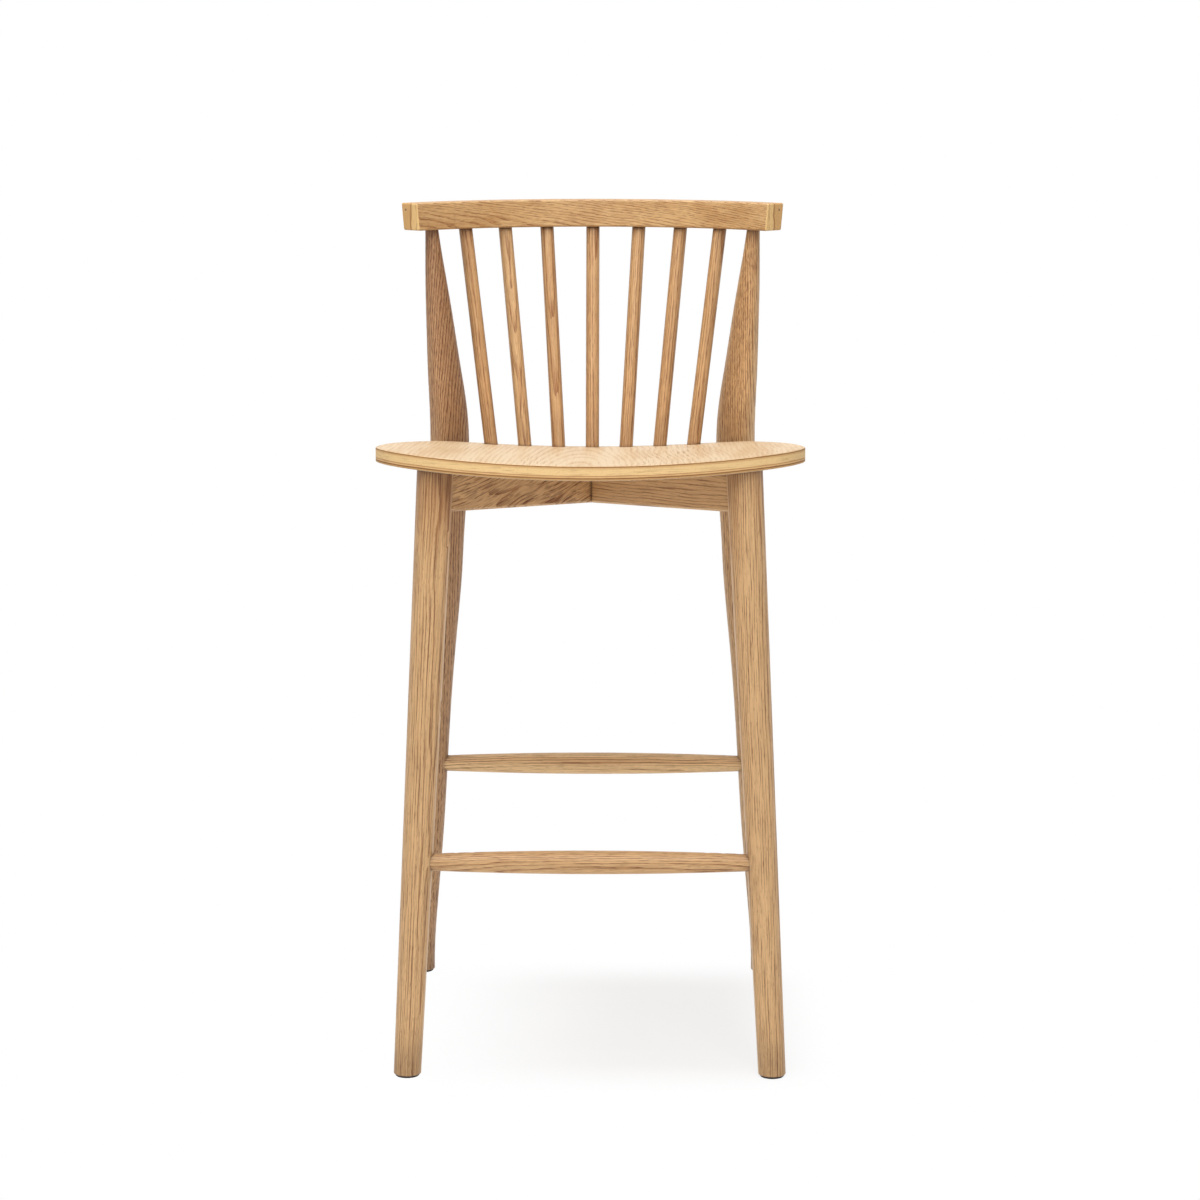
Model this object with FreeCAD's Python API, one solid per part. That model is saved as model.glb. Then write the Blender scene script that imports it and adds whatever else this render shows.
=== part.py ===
import FreeCAD, Part
import math
import os

# Counter stool with a low curved spindle back, in millimetres.
# The front faces -Y, +X is the viewer's right, +Z is up, and z = 0 is the floor.
# Left and right are the viewer's, looking along +Y.

Vec = FreeCAD.Vector

# Overall sizes
overall_depth = 476.0
seat_height = 650.0
crest_top_height = 894.4

# Gaps between fitted pieces
joint_gap = 0.15
socket_gap = 0.12
seat_gap = 0.2
end_room = 0.5

# Seat: a moulded panel, curved from side to side and tilted back
seat_width = 450.0
seat_depth = 402.0
seat_thickness = 15.5
seat_tilt = 4.1
seat_dish_radius = 1920.0
seat_widest_setback = 118.0
seat_front_radius = 330.0
seat_front_corner_radius = 95.0
seat_side_radius = 620.0
seat_rear_corner_radius = 66.0
seat_rear_radius = 1500.0
seat_edge_round = 1.6

# Front legs: tapered rounds with a flat on the inner side for the rail
front_foot_x = 191.6
front_foot_setback = 40.0
front_lean_in_ratio = 0.0513
front_lean_back_ratio = 0.0484
front_top_radius = 19.2
front_foot_radius = 14.4
front_flat_depth = 10.0
front_flat_runout_z = 350.0

# Rear legs: one piece from the floor to the crest rail
rear_foot_x = 198.7
rear_top_setback = 79.2
rear_half_breadth = 23.3
rear_half_thickness = 14.6
# Each row is a level (0 foot, 1 seat, 2 crest), shares of the four sizes above, and a squareness
rear_shares = [
    (0.00, 1.0000, 0.331, 0.618, 0.986, 2.00),
    (0.20, 0.9585, 0.448, 0.658, 1.000, 2.00),
    (0.40, 0.9169, 0.565, 0.718, 1.000, 2.10),
    (0.61, 0.8729, 0.687, 0.809, 0.987, 2.39),
    (0.80, 0.8342, 0.797, 0.928, 0.973, 2.80),
    (0.92, 0.8121, 0.864, 0.999, 0.959, 3.00),
    (0.99, 0.8100, 0.897, 0.993, 0.940, 3.00),
    (1.19, 0.8267, 0.925, 0.899, 0.875, 3.00),
    (1.42, 0.8490, 0.950, 0.755, 0.788, 2.80),
    (1.70, 0.8747, 0.975, 0.562, 0.657, 2.50),
    (1.91, 0.8928, 0.992, 0.382, 0.548, 2.10),
    (2.00, 0.8993, 1.000, 0.313, 0.500, 2.00),
]
section_points = 24
post_tenon_radius = 5.5
post_tenon_length = 16.0

# Cross rails: two rails that lap each other under the seat
rail_thickness = 22.0
rail_front_drop = 56.2
rail_slope = 4.2
rail_bottom_chamfer = 2.0
dowel_radius = 4.0
dowel_length = 32.0
dowel_spacing = 18.0
screw_reach = 105.0
screw_shank_radius = 2.2
screw_head_radius = 4.2
screw_head_height = 2.6
screw_bite = 9.0
screw_pocket_radius = 5.2
screw_pocket_depth = 12.0

# Crest rail: a bent band that leans outwards
crest_radius = 280.0
crest_thickness = 26.0
crest_height = 30.0
crest_lean = 7.0
crest_half_angle = 46.0
crest_edge_round = 2.0
pin_radius = 1.4
pin_length = 8.0
pin_drop = 7.5
pin_inset = 6.8

# Spindles
spindle_count = 7
spindle_radius = 7.5
spindle_base_pitch = 37.75
spindle_rear_margin = 17.0
spindle_first_angle = 10.75
spindle_step_angle = 10.0
spindle_seat_depth = 9.0
spindle_crest_depth = 15.0

# Stretchers: rounds that swell towards the middle
front_stretcher_z = 227.0
rear_stretcher_z = 250.6
stretcher_mid_radius = 12.3
stretcher_end_radius = 8.3

# Foot glides and their nails
glide_height = 2.0
glide_radius = 12.5
glide_edge_chamfer = 0.6
foot_edge_round = 1.5
nail_radius = 1.2
nail_head_radius = 3.2
nail_head_height = 1.0
nail_recess = 0.6
nail_length = 15.0

# Derived frame positions
seat_front_y = -overall_depth / 2
crest_back_y = overall_depth / 2
front_foot_y = seat_front_y + front_foot_setback
rail_front_bottom = seat_height - rail_front_drop
crest_bottom_z = crest_top_height - crest_height
crest_mid_z = crest_top_height - crest_height / 2
crest_lean_run = math.tan(math.radians(crest_lean))
crest_round_loss = crest_edge_round * (crest_lean_run + 1 / math.cos(math.radians(crest_lean)) - 1)
crest_reach = crest_radius + crest_thickness / 2 + crest_lean_run * crest_height / 2 - crest_round_loss
crest_center_y = crest_back_y - crest_reach
seat_along = Vec(0, math.cos(math.radians(seat_tilt)), -math.sin(math.radians(seat_tilt)))
seat_normal = Vec(0, math.sin(math.radians(seat_tilt)), math.cos(math.radians(seat_tilt)))
far = 1500.0


def save(node, shape):
    """Write one node to its STEP file."""
    shape.exportStep("parts/" + node + ".step")


def cylinder_between(start, end, radius):
    """Return a round bar from start to end."""
    run = end.sub(start)
    return Part.makeCylinder(radius, run.Length, start, run)


def half_space(point, normal, size=far):
    """Return a large block that fills the side of a plane its normal points to."""
    block = Part.makeBox(size, size, size, Vec(-size / 2, -size / 2, 0))
    block.Placement = FreeCAD.Placement(point, FreeCAD.Rotation(Vec(0, 0, 1), normal))
    return block


def mirror_x(shape):
    """Return the shape mirrored to the other side of the stool."""
    return shape.mirror(Vec(0, 0, 0), Vec(1, 0, 0))


def one_solid(shape):
    """Return the largest solid of a boolean result."""
    return max(shape.Solids, key=lambda solid: solid.Volume)


def round_edges(shape, edges, radius):
    """Return the shape with the given edges rounded."""
    return one_solid(shape.makeFillet(radius, edges))


# Seat surfaces
def seat_top_z(x, y):
    """Return the height of the seat's upper face at a plan position."""
    along = (y - seat_front_y) / math.cos(math.radians(seat_tilt))
    drop = seat_dish_radius - math.sqrt(seat_dish_radius ** 2 - x ** 2)
    return seat_height - along * math.sin(math.radians(seat_tilt)) + drop


def dish_cylinder(radius):
    """Return a cylinder about the seat's dish axis, long enough for the whole seat."""
    middle = Vec(0, seat_front_y, seat_height).add(seat_normal * seat_dish_radius)
    start = middle.sub(seat_along * overall_depth)
    return Part.makeCylinder(radius, 3 * overall_depth, start, seat_along)


def seat_clearance():
    """Return everything above a face just under the seat panel."""
    return dish_cylinder(seat_dish_radius + seat_thickness + seat_gap)


def inner_tangent_center(center_a, radius_a, center_b, radius_b, radius):
    """Return the centre of a circle tangent inside two circles, on the right side."""
    span = center_b.sub(center_a)
    reach_a = radius_a - radius
    reach_b = radius_b - radius
    along = (reach_a ** 2 - reach_b ** 2 + span.Length ** 2) / (2 * span.Length)
    aside = math.sqrt(reach_a ** 2 - along ** 2)
    unit = Vec(span).normalize()
    foot = center_a.add(unit * along)
    across = Vec(-unit.y, unit.x, 0)
    first = foot.add(across * aside)
    second = foot.sub(across * aside)
    return first if first.x > second.x else second


def point_on_arc(center, toward, radius):
    """Return the point of a circle on the ray from center through toward."""
    return center.add(Vec(toward.sub(center)).normalize() * radius)


def seat_outline():
    """Return the seat's plan outline as a closed wire of eight tangent arcs."""
    front = Vec(0, seat_front_y + seat_front_radius, 0)
    side_y = seat_front_y + seat_widest_setback
    side = Vec(seat_width / 2 - seat_side_radius, side_y, 0)
    rear_y = seat_front_y + seat_depth
    rear = Vec(0, rear_y - seat_rear_radius, 0)
    front_corner = inner_tangent_center(
        front, seat_front_radius, side, seat_side_radius, seat_front_corner_radius)
    rear_corner = inner_tangent_center(
        rear, seat_rear_radius, side, seat_side_radius, seat_rear_corner_radius)
    knots = [
        front.add(front_corner.sub(front).normalize() * seat_front_radius),
        side.add(front_corner.sub(side).normalize() * seat_side_radius),
        side.add(rear_corner.sub(side).normalize() * seat_side_radius),
        rear.add(rear_corner.sub(rear).normalize() * seat_rear_radius),
    ]
    front_corner_mid = point_on_arc(
        front_corner, (knots[0] + knots[1]) * 0.5, seat_front_corner_radius)
    side_mid = point_on_arc(side, (knots[1] + knots[2]) * 0.5, seat_side_radius)
    rear_corner_mid = point_on_arc(
        rear_corner, (knots[2] + knots[3]) * 0.5, seat_rear_corner_radius)
    right = [
        Part.Arc(knots[0], front_corner_mid, knots[1]).toShape(),
        Part.Arc(knots[1], side_mid, knots[2]).toShape(),
        Part.Arc(knots[2], rear_corner_mid, knots[3]).toShape(),
    ]
    flip = [Vec(-knot.x, knot.y, 0) for knot in knots]
    front_edge = Part.Arc(flip[0], Vec(0, seat_front_y, 0), knots[0]).toShape()
    rear_edge = Part.Arc(knots[3], Vec(0, rear_y, 0), flip[3]).toShape()
    left = [mirror_x(edge) for edge in right]
    return Part.Wire(Part.__sortEdges__([front_edge] + right + [rear_edge] + left))


def seat_blank():
    """Return the seat panel with rounded edges, before any hole is made."""
    shell = dish_cylinder(seat_dish_radius + seat_thickness)
    shell = shell.cut(dish_cylinder(seat_dish_radius))
    prism = Part.Face(seat_outline()).extrude(Vec(0, 0, 2 * seat_height))
    blank = one_solid(prism.common(shell))
    rims = []
    for edge in blank.Edges:
        start = edge.Vertexes[0].Point
        end = edge.Vertexes[-1].Point
        upright = abs(start.z - end.z) > 0.9 * start.distanceToPoint(end)
        if not upright:
            rims.append(edge)
    return round_edges(blank, rims, seat_edge_round)


# Legs
def front_axis(z):
    """Return the right front leg's centre at a height."""
    return Vec(front_foot_x - front_lean_in_ratio * z, front_foot_y + front_lean_back_ratio * z, z)


def front_radius(z):
    """Return the front leg's radius at a height."""
    return front_foot_radius + (front_top_radius - front_foot_radius) * z / seat_height


def level_height(level):
    """Return a height on the rear leg: 0 is the foot, 1 the seat and 2 the crest's underside."""
    if level <= 1:
        return glide_height + level * (seat_height - glide_height)
    return seat_height + (level - 1) * (crest_bottom_z - seat_height)


# Rear leg stations: height, centre x, centre y, half breadth, half thickness, squareness
rear_stations = []
for level, out, back, breadth, thickness, squareness in rear_shares:
    rear_stations.append((
        level_height(level), rear_foot_x * out, crest_back_y - rear_top_setback * back,
        rear_half_breadth * breadth, rear_half_thickness * thickness, squareness))


def rear_station(z):
    """Return the right rear leg's station at a height, between the listed ones."""
    for low, high in zip(rear_stations, rear_stations[1:]):
        if z <= high[0]:
            share = (z - low[0]) / (high[0] - low[0])
            return [a + share * (b - a) for a, b in zip(low, high)]
    return rear_stations[-1]


def rear_axis(z):
    """Return the right rear leg's centre at a height."""
    height, x, y, half_breadth, half_thickness, squareness = rear_station(z)
    return Vec(x, y, z)


# Rail line in plan: from the left front leg to the right rear leg
rail_joint_z = rail_front_bottom + (seat_height - seat_thickness - rail_front_bottom) / 2
rail_start = front_axis(rail_joint_z)
rail_start = Vec(-rail_start.x, rail_start.y, 0)
rail_end = rear_axis(rail_joint_z)
rail_end = Vec(rail_end.x, rail_end.y, 0)
rail_dir = Vec(rail_end.sub(rail_start)).normalize()
rail_side = Vec(-rail_dir.y, rail_dir.x, 0)
rail_length = rail_end.sub(rail_start).Length
rail_cross_share = -rail_start.x / (rail_end.x - rail_start.x)
rail_cross = rail_start.add(rail_end.sub(rail_start) * rail_cross_share)
rail_rise = math.tan(math.radians(rail_slope))


def rail_bottom_z(y):
    """Return the height of the rails' lower edge at a depth."""
    return rail_front_bottom - rail_rise * (y - rail_start.y)


def leg_section(station, grow):
    """Return one closed rear leg section, level, with its breadth across the rail."""
    height, x, y, half_breadth, half_thickness, squareness = station
    power = 2.0 / squareness
    points = []
    for index in range(section_points):
        turn = 2 * math.pi * index / section_points
        cos_turn = math.cos(turn)
        sin_turn = math.sin(turn)
        across = math.copysign(abs(cos_turn) ** power, cos_turn) * (half_breadth + grow)
        inward = math.copysign(abs(sin_turn) ** power, sin_turn) * (half_thickness + grow)
        place = Vec(x, y, height).add(rail_side * across).sub(rail_dir * inward)
        points.append(place)
    curve = Part.BSplineCurve()
    curve.interpolate(points, PeriodicFlag=True)
    return Part.Wire(curve.toShape())


def rear_leg_body(grow=0.0):
    """Return the right rear leg, grown all round if it is used as a cutter."""
    wires = [leg_section(station, grow) for station in rear_stations]
    return Part.makeLoft(wires, True, False)


def front_flat_inset(z):
    """Return how far the rail flat lies from the front leg's axis at a height."""
    top = front_top_radius - front_flat_depth
    low = front_radius(front_flat_runout_z)
    share = (z - front_flat_runout_z) / (seat_height - front_flat_runout_z)
    return low + share * (top - low)


def front_flat():
    """Return a point and the inward normal of the right front leg's rail flat."""
    inward = Vec(-rail_dir.x, rail_dir.y, 0)
    across = Vec(rail_dir.y, rail_dir.x, 0)
    top = front_axis(seat_height)
    top = top.add(inward * front_flat_inset(seat_height))
    low = front_axis(front_flat_runout_z)
    low = low.add(inward * front_flat_inset(front_flat_runout_z))
    normal = Vec(across.cross(top.sub(low))).normalize()
    if normal.dot(inward) < 0:
        normal = normal * -1
    return top, normal


def foot_rounded(leg):
    """Return the leg with the rim of its foot rounded."""
    rims = [edge for edge in leg.Edges if edge.BoundBox.ZMax < glide_height + foot_edge_round]
    return round_edges(leg, rims, foot_edge_round)


def front_leg_blank():
    """Return the right front leg without mortises, cut to the glide and the seat."""
    low = front_axis(-seat_thickness)
    high = front_axis(seat_height + seat_thickness)
    cone = Part.makeCone(
        front_radius(low.z), front_radius(high.z), high.sub(low).Length, low, high.sub(low))
    leg = cone.cut(half_space(Vec(0, 0, glide_height), Vec(0, 0, -1)))
    leg = leg.cut(seat_clearance())
    leg = foot_rounded(one_solid(leg))
    flat_point, flat_normal = front_flat()
    return one_solid(leg.cut(half_space(flat_point, flat_normal)))


# Spindle lines
def spindle_line(index):
    """Return a spindle's points on the seat's face and on the crest's underside."""
    place = index - (spindle_count - 1) // 2
    base_x = place * spindle_base_pitch
    edge_drop = seat_rear_radius - math.sqrt(seat_rear_radius ** 2 - base_x ** 2)
    base_y = seat_front_y + seat_depth - edge_drop - spindle_rear_margin
    base = Vec(base_x, base_y, seat_top_z(base_x, base_y))
    turn = 0.0
    if place:
        turn = spindle_first_angle + (abs(place) - 1) * spindle_step_angle
        turn = math.radians(math.copysign(turn, place))
    return base, crest_point(turn, crest_bottom_z)


def spindle_body(index, grow=0.0, room=0.0):
    """Return a spindle that reaches into its two sockets."""
    base, top = spindle_line(index)
    run = Vec(top.sub(base)).normalize()
    start = base.sub(run * (spindle_seat_depth + room))
    end = top.add(run * (spindle_crest_depth + room))
    return cylinder_between(start, end, spindle_radius + grow)


# Crest rail
def crest_point(turn, z):
    """Return the middle of the crest's thickness at an angle and a height."""
    radius = crest_radius + (z - crest_mid_z) * crest_lean_run
    return Vec(radius * math.sin(turn), crest_center_y + radius * math.cos(turn), z)


def crest_blank():
    """Return the bent band with rounded arrises, before any mortise is made."""
    half = crest_thickness / 2
    lean = crest_lean_run * crest_height / 2
    corners = [
        Vec(0, crest_radius - half - lean, crest_bottom_z),
        Vec(0, crest_radius + half - lean, crest_bottom_z),
        Vec(0, crest_radius + half + lean, crest_top_height),
        Vec(0, crest_radius - half + lean, crest_top_height),
    ]
    section = Part.Face(Part.makePolygon(corners + [corners[0]]))
    section.rotate(Vec(0, 0, 0), Vec(0, 0, 1), crest_half_angle)
    band = section.revolve(Vec(0, 0, 0), Vec(0, 0, 1), -2 * crest_half_angle)
    band.translate(Vec(0, crest_center_y, 0))
    band = one_solid(band)
    return round_edges(band, band.Edges, crest_edge_round)


def crest_pin(side, grow=0.0, room=0.0):
    """Return the small plug in one end of the crest rail."""
    turn = side * math.radians(crest_half_angle)
    outward = Vec(math.sin(turn), math.cos(turn), 0)
    along = Vec(side * math.cos(turn), -side * math.sin(turn), 0)
    middle = crest_point(turn, crest_top_height - pin_drop)
    head = middle.add(outward * (crest_thickness / 2 - pin_inset))
    tail = head.sub(along * (pin_length + room))
    return cylinder_between(tail, head.add(along * room), pin_radius + grow)


def post_tenon(grow=0.0, room=0.0):
    """Return the right post's tenon, from inside the post up into the crest rail."""
    top = Vec(rear_stations[-1][1], rear_stations[-1][2], crest_bottom_z)
    low = top.sub(Vec(0, 0, post_tenon_radius))
    high = top.add(Vec(0, 0, post_tenon_length + room))
    return cylinder_between(low, high, post_tenon_radius + grow)


# Stretchers
def stretcher_body(leg_point, grow=0.0, room=0.0):
    """Return a barrel-shaped round along X that ends at the axes of its two legs."""
    reach = leg_point.x + room
    end_radius = stretcher_end_radius + grow
    start = Vec(-reach, 0, 0)
    low = Vec(-reach, end_radius, 0)
    high = Vec(reach, end_radius, 0)
    swell = Part.Arc(low, Vec(0, stretcher_mid_radius + grow, 0), high).toShape()
    lines = [
        Part.makeLine(start, low),
        swell,
        Part.makeLine(high, Vec(reach, 0, 0)),
        Part.makeLine(Vec(reach, 0, 0), start),
    ]
    face = Part.Face(Part.Wire(lines))
    body = face.revolve(Vec(0, 0, 0), Vec(1, 0, 0), 360)
    body.translate(Vec(0, leg_point.y, leg_point.z))
    return one_solid(body)


# Cross rails
def rail_full(grow=0.0):
    """Return the rail from left front to right rear, before its ends and lap are cut."""
    high = seat_height + seat_thickness
    low_start = rail_start.add(Vec(0, 0, rail_bottom_z(rail_start.y)))
    low_end = rail_end.add(Vec(0, 0, rail_bottom_z(rail_end.y)))
    high_end = rail_end.add(Vec(0, 0, high))
    high_start = rail_start.add(Vec(0, 0, high))
    half = rail_thickness / 2 + grow
    corners = [low_start, low_end, high_end, high_start, low_start]
    side = Part.Face(Part.makePolygon(corners))
    side.translate(rail_side * -half)
    rail = one_solid(side.extrude(rail_side * (2 * half)))
    if grow:
        return rail
    lower = []
    for edge in rail.Edges:
        long_enough = edge.Length > rail_length / 2
        if long_enough and edge.BoundBox.ZMax < seat_height - seat_thickness:
            lower.append(edge)
    return one_solid(rail.makeChamfer(rail_bottom_chamfer, lower))


def lap_plane_z():
    """Return the height where the two rails share the lap at their crossing."""
    top = seat_top_z(0, rail_cross.y) - seat_thickness - seat_gap
    return (top + rail_bottom_z(rail_cross.y)) / 2


def rail_blank(lap_above):
    """Return the rail cut to its legs and the seat, notched above or below the lap."""
    lap = half_space(Vec(0, 0, lap_plane_z()), Vec(0, 0, 1 if lap_above else -1))
    notch = mirror_x(rail_full(joint_gap)).common(lap)
    rail = rail_full().cut(seat_clearance()).cut(notch)
    flat_point, flat_normal = front_flat()
    flat_point = Vec(-flat_point.x, flat_point.y, flat_point.z)
    away = Vec(flat_normal.x, -flat_normal.y, -flat_normal.z)
    rail = rail.cut(half_space(flat_point, away))
    return one_solid(rail.cut(rear_leg_body(joint_gap)))


def rail_slope_dir():
    """Return the rail's direction, sloped with its lower edge."""
    return Vec(rail_dir.x, rail_dir.y, -rail_rise * rail_dir.y).normalize()


def dowel_pair(at_front, grow=0.0, room=0.0):
    """Return two dowels across one end of the left-front to right-rear rail."""
    run = rail_slope_dir()
    if at_front:
        face = rail_start.add(rail_dir * front_flat_inset(rail_joint_z))
    else:
        height, x, y, half_breadth, half_thickness, squareness = rear_station(rail_joint_z)
        face = rail_end.sub(rail_dir * half_thickness)
    top = seat_top_z(face.x, face.y) - seat_thickness
    middle_z = (top + rail_bottom_z(face.y)) / 2
    pair = []
    for step in (-0.5, 0.5):
        middle = Vec(face.x, face.y, middle_z + step * dowel_spacing)
        reach = run * (dowel_length / 2 + room)
        pair.append(cylinder_between(middle.sub(reach), middle.add(reach), dowel_radius + grow))
    return pair


def screw_places():
    """Return the plan positions of the left-front to right-rear rail's two screws."""
    return [rail_cross.add(rail_dir * (side * screw_reach)) for side in (-1, 1)]


def screw_body(place):
    """Return one seat screw, head down in the rail and its tip in the seat."""
    head_z = rail_bottom_z(place.y) + screw_pocket_depth
    tip_z = seat_top_z(place.x, place.y) - seat_thickness + screw_bite
    head_low = Vec(place.x, place.y, head_z - screw_head_height)
    head = cylinder_between(head_low, Vec(place.x, place.y, head_z), screw_head_radius)
    shank = cylinder_between(
        Vec(place.x, place.y, head_z - screw_head_height / 2),
        Vec(place.x, place.y, tip_z), screw_shank_radius)
    return head.fuse(shank)


def screw_hole(place):
    """Return the room that one seat screw needs in the rail and the seat."""
    low = rail_bottom_z(place.y) - rail_thickness
    head_z = rail_bottom_z(place.y) + screw_pocket_depth
    tip_z = seat_top_z(place.x, place.y) - seat_thickness + screw_bite + end_room
    pocket = cylinder_between(
        Vec(place.x, place.y, low), Vec(place.x, place.y, head_z), screw_pocket_radius)
    bore = cylinder_between(
        Vec(place.x, place.y, low), Vec(place.x, place.y, tip_z),
        screw_shank_radius + socket_gap)
    return pocket.fuse(bore)


# Glides and nails
def glide_body(foot):
    """Return the glide under one foot with the nail's recess and hole."""
    disc = Part.makeCylinder(glide_radius, glide_height, Vec(foot.x, foot.y, 0))
    rims = [edge for edge in disc.Edges if edge.BoundBox.ZMax < glide_height / 2]
    disc = one_solid(disc.makeChamfer(glide_edge_chamfer, rims))
    recess_top = nail_recess + nail_head_height
    recess = Part.makeCylinder(
        nail_head_radius + socket_gap, recess_top, Vec(foot.x, foot.y, 0))
    hole = Part.makeCylinder(nail_radius + socket_gap, glide_height, Vec(foot.x, foot.y, 0))
    return one_solid(disc.cut(recess).cut(hole))


def nail_body(foot, grow=0.0, room=0.0):
    """Return the nail that holds one glide."""
    low = Vec(foot.x, foot.y, nail_recess)
    head = Part.makeCylinder(nail_head_radius, nail_head_height, low)
    shank = Part.makeCylinder(nail_radius + grow, nail_length + room, low)
    return head.fuse(shank)


# Build
os.makedirs("parts", exist_ok=True)

front_foot = front_axis(glide_height)
rear_foot = Vec(rear_stations[0][1], rear_stations[0][2], glide_height)
feet = {
    "front_left": Vec(-front_foot.x, front_foot.y, 0),
    "front_right": Vec(front_foot.x, front_foot.y, 0),
    "rear_left": Vec(-rear_foot.x, rear_foot.y, 0),
    "rear_right": Vec(rear_foot.x, rear_foot.y, 0),
}

# Right front leg: mortises for the stretcher, the dowels of the rail that starts here and the nail
front_leg = front_leg_blank()
front_leg = front_leg.cut(stretcher_body(front_axis(front_stretcher_z), socket_gap, end_room))
for dowel in dowel_pair(True, socket_gap, end_room):
    front_leg = front_leg.cut(mirror_x(dowel))
front_leg = front_leg.cut(nail_body(feet["front_right"], socket_gap, end_room))
front_leg = one_solid(front_leg)
save("front_leg_right", front_leg)
save("front_leg_left", mirror_x(front_leg))

# Right rear leg: the same, with its post and tenon
rear_leg = foot_rounded(rear_leg_body())
rear_leg = rear_leg.fuse(post_tenon())
rear_leg = rear_leg.cut(stretcher_body(rear_axis(rear_stretcher_z), socket_gap, end_room))
for dowel in dowel_pair(False, socket_gap, end_room):
    rear_leg = rear_leg.cut(dowel)
rear_leg = rear_leg.cut(nail_body(feet["rear_right"], socket_gap, end_room))
rear_leg = one_solid(rear_leg)
save("rear_leg_right", rear_leg)
save("rear_leg_left", mirror_x(rear_leg))

# Cross rails
for node, mirrored, lap_above in (
        ("cross_rail_left_front", False, True), ("cross_rail_right_front", True, False)):
    rail = rail_blank(lap_above)
    for at_front in (True, False):
        for dowel in dowel_pair(at_front, socket_gap, end_room):
            rail = rail.cut(dowel)
    for place in screw_places():
        rail = rail.cut(screw_hole(place))
    rail = one_solid(rail)
    save(node, mirror_x(rail) if mirrored else rail)

# Dowels
for node, at_front, mirrored in (
        ("dowels_front_left", True, False), ("dowels_rear_right", False, False),
        ("dowels_front_right", True, True), ("dowels_rear_left", False, True)):
    pair = dowel_pair(at_front)
    if mirrored:
        pair = [mirror_x(dowel) for dowel in pair]
    save(node, Part.makeCompound(pair))

# Seat panel with its sockets and screw holes, and the screws
seat = seat_blank()
post_room = rear_leg_body(seat_gap)
for room in (post_room, mirror_x(post_room)):
    seat = seat.cut(room)
for index in range(spindle_count):
    seat = seat.cut(spindle_body(index, socket_gap, end_room))
screws = []
for place in screw_places():
    for spot in (place, Vec(-place.x, place.y, 0)):
        seat = seat.cut(screw_hole(spot))
        screws.append(screw_body(spot))
save("seat_panel", one_solid(seat))
save("seat_screws", Part.makeCompound(screws))

# Crest rail with its mortises, and the plugs in its ends
crest = crest_blank()
for index in range(spindle_count):
    crest = crest.cut(spindle_body(index, socket_gap, end_room))
tenon_room = post_tenon(socket_gap, end_room)
for room in (tenon_room, mirror_x(tenon_room)):
    crest = crest.cut(room)
for side in (-1, 1):
    crest = crest.cut(crest_pin(side, socket_gap, end_room))
save("crest_rail", one_solid(crest))
save("crest_end_pins", Part.makeCompound([crest_pin(side) for side in (-1, 1)]))

# Spindles
for index in range(spindle_count):
    save("spindle_" + str(index + 1), spindle_body(index))

# Stretchers
save("front_stretcher", stretcher_body(front_axis(front_stretcher_z)))
save("rear_stretcher", stretcher_body(rear_axis(rear_stretcher_z)))

# Glides and nails
for corner, foot in feet.items():
    save("glide_" + corner, glide_body(foot))
save("glide_nails", Part.makeCompound([nail_body(foot) for foot in feet.values()]))
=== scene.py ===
"""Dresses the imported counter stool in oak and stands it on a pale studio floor.

Sizes are in metres. The front faces -Y, +X is the viewer's right and z = 0 is the floor.
"""

from __future__ import annotations

import logging
import math
from dataclasses import dataclass, field, replace
from enum import Enum
from typing import Any

import bpy
import numpy as np
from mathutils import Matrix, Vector

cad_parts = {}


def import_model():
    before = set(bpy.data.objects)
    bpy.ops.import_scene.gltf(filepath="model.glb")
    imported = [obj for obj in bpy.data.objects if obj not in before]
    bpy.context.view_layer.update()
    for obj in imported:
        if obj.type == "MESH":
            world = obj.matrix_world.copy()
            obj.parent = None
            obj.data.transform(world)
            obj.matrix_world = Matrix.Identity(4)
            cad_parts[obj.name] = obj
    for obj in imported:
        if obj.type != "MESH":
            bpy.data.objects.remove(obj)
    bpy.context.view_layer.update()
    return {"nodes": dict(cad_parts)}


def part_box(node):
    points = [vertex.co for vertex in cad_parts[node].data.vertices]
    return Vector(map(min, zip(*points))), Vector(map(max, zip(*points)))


LOG = logging.getLogger("counter_stool")
Colour = tuple[float, float, float, float]
Band = tuple[float, float]
Nodes = dict[str, bpy.types.Object]
WHITE: Colour = (1.0, 1.0, 1.0, 1.0)
FORWARD = Vector((0.0, -1.0, 0.0))
SIDEWAYS_WEIGHT = 0.1


def paint(red: int, green: int, blue: int) -> Colour:
    """Turn a display (sRGB) colour into the linear one that shaders use.

    Args:
        red: Red, 0 to 255.
        green: Green, 0 to 255.
        blue: Blue, 0 to 255.

    Returns:
        The linear colour with full alpha.
    """
    linear = []
    for channel in (red, green, blue):
        share = channel / 255
        linear.append(share / 12.92 if share <= 0.04045 else ((share + 0.055) / 1.055) ** 2.4)
    return (linear[0], linear[1], linear[2], 1.0)


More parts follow.
